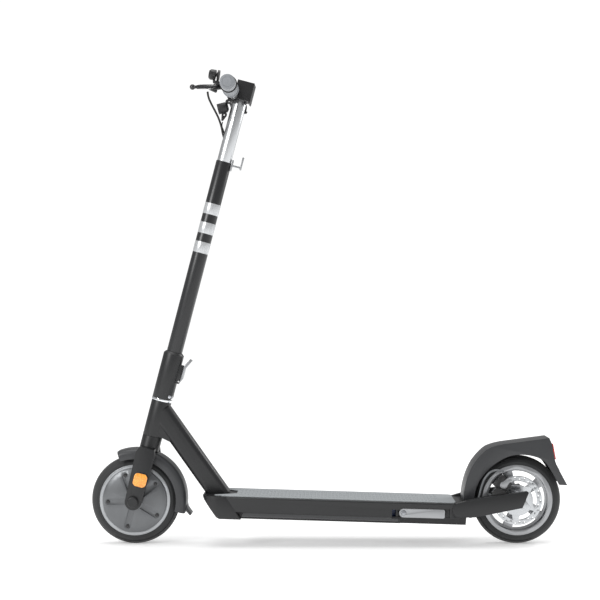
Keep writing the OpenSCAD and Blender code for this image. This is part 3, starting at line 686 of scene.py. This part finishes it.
class SCOOTER_OT_front_guard(PieceOperator, bpy.types.Operator):
    """Models the front mudguard: a rounded arch over the wheel, cut back to a tip, and its flap"""
    bl_idname = "scooter.front_guard"
    bl_label = "Front mudguard"

    def make(self):
        high = node_box("front_fender")[1]
        crown = high.z - FRONT_AXLE.z
        half = high.y
        skirt = crown - 25 * MM
        shoulder = 14 * MM
        skin = 2.5 * MM

        def arch(inset):
            top, side, bend = crown - inset, half - inset, shoulder - inset
            middle = (top - bend, side - bend)
            right = arc(bend, 90, 0, 6, middle)
            left = [(r, -a) for r, a in reversed(right)]
            return [(skirt, side)] + right + left + [(skirt, -side)]

        first = radians(-15)
        guard = turned(arch(0) + list(reversed(arch(skin))), FRONT_AXLE, SIDEWAYS,
                       (cos(first), 0, sin(first)), steps=80, angle=radians(125), closed=True)
        self.close_ends(guard)
        self.shape_tip(guard, skirt, crown)
        soften(guard, 0.7)
        flap = line_of([FRONT_AXLE + Vector((x * MM, -half + 11 * MM, z * MM)) for x, z in (
            (crown / MM - 1.5, -6), (crown / MM + 1, -20), (crown / MM + 11.8, -35.6),
            (crown / MM + 8.2, -37.6), (crown / MM - 3.5, -24), (crown / MM - 4.4, -6))])
        bpy.ops.mesh.select_all(action="SELECT")
        bpy.ops.mesh.edge_face_add()
        bpy.ops.mesh.extrude_region_move(
            TRANSFORM_OT_translate={"value": (0, 2 * half - 22 * MM, 0)})
        bpy.ops.mesh.select_all(action="SELECT")
        bpy.ops.mesh.normals_make_consistent(inside=False)
        start()
        soften(flap, 1.0)
        finish_piece(join([guard, flap]), "mudguard_front", guard_plastic(), "front_fender")

    def close_ends(self, guard):
        """Closes the two cut ends of the arch."""
        edit(guard)
        bpy.ops.mesh.select_all(action="DESELECT")
        bpy.ops.mesh.select_mode(type="EDGE")
        bpy.ops.mesh.select_non_manifold(extend=False)
        bpy.ops.mesh.edge_face_add()
        start()

    def shape_tip(self, guard, skirt, crown):
        """Draws the skirts up towards the front end, where the guard runs out to a rounded tip."""
        begin, end = radians(96), radians(110)
        tip_drop, tip_depth = 3 * MM, 8 * MM
        for vertex in guard.data.vertices:
            arm = vertex.co - FRONT_AXLE
            turn = atan2(arm.z, arm.x)
            if turn < begin:
                continue
            share = min(1.0, (turn - begin) / (end - begin))
            highest = crown - tip_drop * share ** 2
            lowest = skirt + (crown - tip_drop - tip_depth - skirt) * (1 - (1 - share ** 2) ** 0.5)
            reach = Vector((arm.x, 0, arm.z)).length
            wanted = lowest + (reach - skirt) / (crown - skirt) * (highest - lowest)
            moved = Vector((arm.x, 0, arm.z)) * (wanted / reach)
            vertex.co = FRONT_AXLE + moved + Vector((0, arm.y, 0))


class SCOOTER_OT_rear_guard(PieceOperator, bpy.types.Operator):
    """Rounds the rear mudguard's shoulders"""
    bl_idname = "scooter.rear_guard"
    bl_label = "Rear mudguard"

    def make(self):
        side = node_box("rear_fender")[1].y
        lowest = REAR_AXLE.z + 20 * MM
        guard = copy_of("rear_fender")

        def is_shoulder(mesh, line):
            ends = [mesh.vertices[i].co for i in line.vertices]
            outside = all(abs(abs(p.y) - side) < 0.1 * MM for p in ends)
            arms = [Vector((p.x - REAR_AXLE.x, 0, p.z - REAR_AXLE.z)).length for p in ends]
            return outside and min(arms) > TYRE_R + 8 * MM and min(p.z for p in ends) > lowest

        edit(guard, is_shoulder, "EDGE")
        bpy.ops.mesh.bevel(offset=5 * MM, segments=4, clamp_overlap=True)
        start()
        soften(guard, 0.6, angle=36)
        finish_piece(guard, "mudguard_rear", guard_plastic(), "rear_fender")


class SCOOTER_OT_deck(PieceOperator, bpy.types.Operator):
    """Finishes the frame and the deck, and lays the foot mat with its ribs"""
    bl_idname = "scooter.deck"
    bl_label = "Frame and deck"

    def make(self):
        refine("main_frame", "frame_tubes", powder_coat(), 1.5, 3)
        refine("deck_nose", "deck_front_casting", powder_coat(), 2.0, 3)
        refine("deck_tray", "deck_shell", powder_coat(), 0.8)
        refine("bottom_cover", "deck_cover", moulded_abs(), 1.2)
        refine("cover_screws", "deck_screws", turned_steel(), 0.3)
        refine("rear_arms", "rear_dropouts", powder_coat(), 1.5, 3)
        refine("kickstand", "side_stand", cast_alloy(), 1.2, 3)
        refine("kickstand_bolt", "side_stand_bolt", turned_steel(), 0.5)
        refine("charge_port", "charging_socket", moulded_abs(), 0.4)
        refine("charge_cap", "charging_cap", black_rubber(), 0.5)
        mat = copy_of("deck_mat")
        soften(mat, 0.8, 3)
        finish_piece(join([mat, self.ribs()]), "foot_mat", mat_rubber(), "deck_mat")

    def ribs(self):
        """Low ribs across the mat, in three rows."""
        along = Vector(JOINTS["charge_cap_swing"]["axis"]).normalized()
        low, high = node_box("deck_mat")
        tilt = atan2(-along.z, along.x)
        up = Vector((sin(tilt), 0, cos(tilt)))
        top = max((v.co for v in NODES["deck_mat"].data.vertices), key=lambda p: p.dot(up))
        pitch, gap = 9 * MM, 62 * MM
        count = int((high.x - low.x - gap - 30 * MM) / pitch)
        row_width = (high.y - low.y - 44 * MM) / 3
        rows = []
        for row in (-1, 0, 1):
            place = Vector((low.x + gap, row * (row_width + 6 * MM), 0))
            place.z = top.z - (place.x - top.x) * along.z / -along.x
            bpy.ops.mesh.primitive_cube_add(size=1, location=place, rotation=(0, tilt, 0))
            rib = bpy.context.object
            rib.scale = (4.4 * MM, row_width, 1.6 * MM)
            bpy.ops.object.transform_apply(location=False, rotation=True, scale=True)
            modify(rib, "BEVEL", width=0.7 * MM, segments=2)
            modify(rib, "ARRAY", count=count, use_relative_offset=False, use_constant_offset=True,
                   constant_offset_displace=along * pitch)
            pick(rib)
            bpy.ops.object.transform_apply(location=True, rotation=True, scale=True)
            rows.append(rib)
        return join(rows)


class SCOOTER_OT_stem(PieceOperator, bpy.types.Operator):
    """Finishes the folding sleeve, both stem tubes, the bands, the fold lever and the bag hook"""
    bl_idname = "scooter.stem"
    bl_label = "Stem"

    def make(self):
        refine("fold_sleeve", "stem_sleeve", powder_coat(), 0.8)
        refine("fold_pin", "stem_pin", turned_steel(), 0.5)
        refine("fold_lever", "stem_lever", cast_alloy(), 0.9, 3)
        refine("stem_tube_lower", "stem_lower", stem_coat(), 0.4)
        refine("stem_tube_upper", "stem_upper", anodised_aluminium(), 0.4)
        refine("reflective_bands", "stem_bands", retro_tape(), 0.12)
        refine("bag_hook", "hook_for_bags", cast_alloy(), 0.9, 3)


class SCOOTER_OT_head(PieceOperator, bpy.types.Operator):
    """Finishes the head, its display and the controls round the handlebar"""
    bl_idname = "scooter.head"
    bl_label = "Head and controls"

    def make(self):
        refine("head_housing", "head_cover", moulded_abs(), 2.5, 4)
        refine("display_lens", "display_glass", dark_glass(), 0.5)
        # The power key shares the tail lamp's acrylic, so it glows with painted light.
        refine("power_button", "power_key", red_lamp_and_painted_glow(), 0.5)
        refine("handlebar", "handlebar_tube", stem_coat(), 0.5)
        refine("brake_perch", "lever_perch", black_metal(), 0.8)
        refine("brake_lever", "lever_blade", black_metal(), 1.4, 3)
        refine("bell_body", "bell_dome_and_bracket", black_metal(), 0.7, 3)
        refine("bell_striker", "bell_thumb_striker", moulded_abs(), 0.5)
        refine("headlight_housing", "headlight_case", moulded_abs(), 0.7)
        refine("throttle_housing", "throttle_case", moulded_abs(), 1.2, 3)
        refine("throttle_lever", "throttle_paddle", moulded_abs(), 0.8)


class SCOOTER_OT_headlight_glass(PieceOperator, bpy.types.Operator):
    """Turns the headlight's ringed glass"""
    bl_idname = "scooter.headlight_glass"
    bl_label = "Headlight glass"

    def make(self):
        light = node_middle("headlight_lens")
        dip = radians(14)
        beam = Vector((-cos(dip), 0, -sin(dip)))
        radius = node_box("headlight_lens")[1].y
        half = 0.95 * MM
        ring = 1.6 * MM
        rim = radius - 0.1 * MM
        front = [(0.0, half * 0.4)]
        for i in range(int(radius / ring)):
            front += [(i * ring + ring * 0.1, half * 0.4), (i * ring + ring * 0.9, half)]
        points = front + [(rim, half * 0.6), (rim, -half), (0.0, -half)]
        glass = turned(points, light, beam, SIDEWAYS, steps=64)
        finish_piece(glass, "headlight_glass", lamp_glass(), "headlight_lens", angle=20)


class SCOOTER_OT_grips(PieceOperator, bpy.types.Operator):
    """Turns the two ribbed grips with their end caps and dark rings"""
    bl_idname = "scooter.grips"
    bl_label = "Grips"

    def make(self):
        end = node_box("grips")[1].y
        bar = node_middle("handlebar")
        bar_radius = node_half("handlebar").z
        length, end_block = 112 * MM, 36 * MM
        parts, rings = [], []
        for side in (1, -1):
            axis = SIDEWAYS * side
            foot = bar + axis * (end - length)
            parts.append(turned(self.grip_outline(length, bar_radius), foot, axis, (0, 0, 1),
                                steps=72))
            rings.append(turned(self.ring_outline(length - end_block), foot, axis, (0, 0, 1),
                                steps=72, closed=True))
        finish_piece(join(parts), "grip_pair", grip_rubber(), "grips")
        finish_piece(join(rings), "grip_rings", black_rubber(), "grips")

    def grip_outline(self, length, bore):
        """From the bore's end, round the collar and over the ribs, to the middle of the end cap."""
        radius, collar, cap = 17 * MM, 19.5 * MM, 18 * MM
        pitch, groove = 4 * MM, 0.7 * MM
        plug, bend, dent = length - 3 * MM, 2.5 * MM, length - 0.5 * MM
        points = [(0.0, plug), (bore, plug), (bore, 0.0), (collar - 0.5 * MM, 0.0),
                  (collar, 0.5 * MM), (collar, 3.5 * MM), (collar - 0.5 * MM, 4 * MM),
                  (radius, 4.4 * MM)]
        place = 7 * MM
        while place < length - 42 * MM:
            points += [(radius, place), (radius - groove, place + 0.4 * MM),
                       (radius - groove, place + 1.2 * MM), (radius, place + 1.6 * MM)]
            place += pitch
        points += [(radius, length - 32 * MM), (cap, length - 31.5 * MM)]
        points += [(r, a) for a, r in arc(bend, 90, 0, 5, (length - bend, cap - bend))]
        points += [(12.5 * MM, length), (12.2 * MM, dent), (11.4 * MM, dent), (11.1 * MM, length),
                   (0.0, length)]
        return points

    def ring_outline(self, place):
        bore, outer, width, bevel = 17.1 * MM, 20.5 * MM, 4 * MM, 0.6 * MM
        shoulder = 20 * MM
        return [(bore, place), (shoulder, place), (outer, place + bevel),
                (outer, place + width - bevel), (shoulder, place + width), (bore, place + width)]


def make_cable(name, node, material, runs, origin):
    """Sheathed cables through (route, radius) runs in millimetres from an origin, made as tubes."""
    tubes = []
    for route, radius in runs:
        curve = bpy.data.curves.new(name, "CURVE")
        curve.dimensions = "3D"
        curve.bevel_depth = radius * MM
        curve.bevel_resolution = 4
        curve.resolution_u = 10
        curve.use_fill_caps = True
        spline = curve.splines.new("BEZIER")
        spline.bezier_points.add(len(route) - 1)
        for point, place in zip(spline.bezier_points, route):
            point.co = origin + Vector(place) * MM
            point.handle_left_type = point.handle_right_type = "AUTO"
        tube = bpy.data.objects.new(name, curve)
        bpy.context.scene.collection.objects.link(tube)
        pick(tube)
        bpy.ops.object.convert(target="MESH")
        edit(tube)
        bpy.ops.mesh.remove_doubles(threshold=0.01 * MM)
        start()
        tubes.append(tube)
    return finish_piece(join(tubes), name, material, node, angle=60)


class SCOOTER_OT_cables(PieceOperator, bpy.types.Operator):
    """Lays the brake cable and the headlight's wire into the stem, and the rear brake cable"""
    bl_idname = "scooter.cables"
    bl_label = "Cables"

    def make(self):
        cable_radius, wire_radius = 2.5, 1.4
        brake = [(-57, -90, -3), (-55, -92, -14), (-50, -68, -28), (-42, -40, -44),
                 (-35, -18, -60), (-30, -6, -78), (-27, -1, -94), (-23.5, 0, -105)]
        wire = [(-28, 2, -62.6), (-30, 3, -70), (-26, 5, -84), (-22, 5, -96), (-20, 4.4, -104)]
        make_cable("stem_cables", "control_cables", black_rubber(),
                   [(brake, cable_radius), (wire, wire_radius)], node_middle("handlebar"))
        rear = [(-109, -50, -14), (-103, -50, -6), (-96, -51, 14), (-90, -52, 38), (-80, -52, 60),
                (-64, -51, 74), (-48, -50, 76), (-36, -49, 73)]
        make_cable("rear_cable", "rear_brake_cable", sheath_grey(), [(rear, cable_radius)],
                   REAR_AXLE)


class SCOOTER_OT_rear_brake(PieceOperator, bpy.types.Operator):
    """Finishes the calliper, its arm and the rear axle"""
    bl_idname = "scooter.rear_brake"
    bl_label = "Rear brake"

    def make(self):
        refine("brake_caliper", "calliper", black_metal(), 1.2, 3)
        refine("brake_arm", "calliper_arm", cast_alloy(), 0.7)
        refine("rear_axle", "axle_rear", turned_steel(), 0.5)


class SCOOTER_OT_inner_parts(PieceOperator, bpy.types.Operator):
    """Gives the parts inside their finishes"""
    bl_idname = "scooter.inner_parts"
    bl_label = "Inner parts"

    def make(self):
        finishes = {
            turned_steel: ("head_bearings", "motor_bearings", "rear_bearings", "steerer_tube"),
            copper: ("motor_stator",),
            battery_wrap: ("battery_pack",),
            cast_alloy: ("controller",),
        }
        for finish, nodes in finishes.items():
            for node in nodes:
                mesh = NODES[node].data
                mesh.materials.clear()
                mesh.materials.append(finish())


# ---------------------------------------------------------------- stage
class SCOOTER_OT_stage(PieceOperator, bpy.types.Operator):
    """Sets the white floor, the soft lights and the camera"""
    bl_idname = "scooter.stage"
    bl_label = "Stage"

    def make(self):
        self.floor()
        self.lights()
        self.camera()

    def floor(self):
        start()
        bpy.ops.mesh.primitive_plane_add(size=60, location=(0, 0, 0))
        floor = bpy.context.object
        floor.name = "floor"
        material, bsdf, _ = finish_of("paper_floor", Roughness=0.9)
        bsdf.inputs["Base Color"].default_value = linear([0.97, 0.97, 0.97])
        bsdf.inputs["Emission Color"].default_value = (1, 1, 1, 1)
        bsdf.inputs["Emission Strength"].default_value = 0.3
        floor.data.materials.append(material)

    def lights(self):
        """A soft world that the camera sees as plain white, two area lamps and a broad sun."""
        world = bpy.data.worlds.new("studio")
        bpy.context.scene.world = world
        world.use_nodes = True
        tree = world.node_tree
        soft = tree.nodes["Background"]
        white = tree.nodes.new("ShaderNodeBackground")
        for background, strength in ((soft, 0.42), (white, 1.05)):
            background.inputs["Color"].default_value = (1, 1, 1, 1)
            background.inputs["Strength"].default_value = strength
        seen = tree.nodes.new("ShaderNodeLightPath")
        mix = tree.nodes.new("ShaderNodeMixShader")
        tree.links.new(seen.outputs["Is Camera Ray"], mix.inputs[0])
        tree.links.new(soft.outputs[0], mix.inputs[1])
        tree.links.new(white.outputs[0], mix.inputs[2])
        tree.links.new(mix.outputs[0], tree.nodes["World Output"].inputs["Surface"])
        aim = Vector((-0.1, 0, 0.5))
        for name, place, size, power in (
                ("key", (-2.4, -2.4, 2.0), 1.1, 55),
                ("rim", (2.4, 1.6, 1.8), 1.2, 30)):
            lamp = bpy.data.lights.new(name, "AREA")
            lamp.energy, lamp.size = power, size
            light = bpy.data.objects.new(name, lamp)
            light.location = place
            light.rotation_euler = (aim - Vector(place)).to_track_quat("-Z", "Y").to_euler()
            bpy.context.scene.collection.objects.link(light)
        overhead = bpy.data.lights.new("overhead", "SUN")
        overhead.energy, overhead.angle = 1.3, radians(50)
        bpy.context.scene.collection.objects.link(bpy.data.objects.new("overhead", overhead))

    def camera(self):
        camera = bpy.data.objects.new("camera", bpy.data.cameras.new("camera"))
        camera.data.lens = 82.2
        camera.data.shift_x, camera.data.shift_y = -0.05, 0.0108
        camera.location = (0.0035, -3.37, 0.581)
        camera.rotation_euler = (pi / 2, 0, 0)
        bpy.context.scene.collection.objects.link(camera)
        bpy.context.scene.camera = camera
        bpy.context.scene.view_settings.view_transform = "Standard"


class SCOOTER_PT_panel(bpy.types.Panel):
    """The scooter's sizes, colours and pieces"""
    bl_idname = "SCOOTER_PT_panel"
    bl_label = "Kick scooter"
    bl_space_type = "VIEW_3D"
    bl_region_type = "UI"
    bl_category = "Scooter"

    def draw(self, context):
        for group in (context.scene.scooter_sizes, context.scene.scooter_colours):
            box = self.layout.box()
            for name in group.bl_rna.properties.keys():
                if name not in ("rna_type", "name"):
                    box.prop(group, name)
        for operator in OPERATORS:
            self.layout.operator(operator.bl_idname)


OPERATORS = (
    SCOOTER_OT_tyres, SCOOTER_OT_wheels, SCOOTER_OT_fork, SCOOTER_OT_reflectors,
    SCOOTER_OT_front_guard, SCOOTER_OT_rear_guard, SCOOTER_OT_deck, SCOOTER_OT_stem,
    SCOOTER_OT_head, SCOOTER_OT_headlight_glass, SCOOTER_OT_grips, SCOOTER_OT_cables,
    SCOOTER_OT_rear_brake, SCOOTER_OT_inner_parts, SCOOTER_OT_stage,
)
CLASSES = (ScooterColours, ScooterSizes, *OPERATORS, SCOOTER_PT_panel)


def register():
    for cls in CLASSES:
        bpy.utils.register_class(cls)
    bpy.types.Scene.scooter_colours = PointerProperty(type=ScooterColours)
    bpy.types.Scene.scooter_sizes = PointerProperty(type=ScooterSizes)


def unregister():
    del bpy.types.Scene.scooter_sizes
    del bpy.types.Scene.scooter_colours
    for cls in reversed(CLASSES):
        bpy.utils.unregister_class(cls)


def main():
    register()
    for operator in OPERATORS:
        group, name = operator.bl_idname.split(".")
        getattr(getattr(bpy.ops, group), name)()


if __name__ == "__main__":
    main()
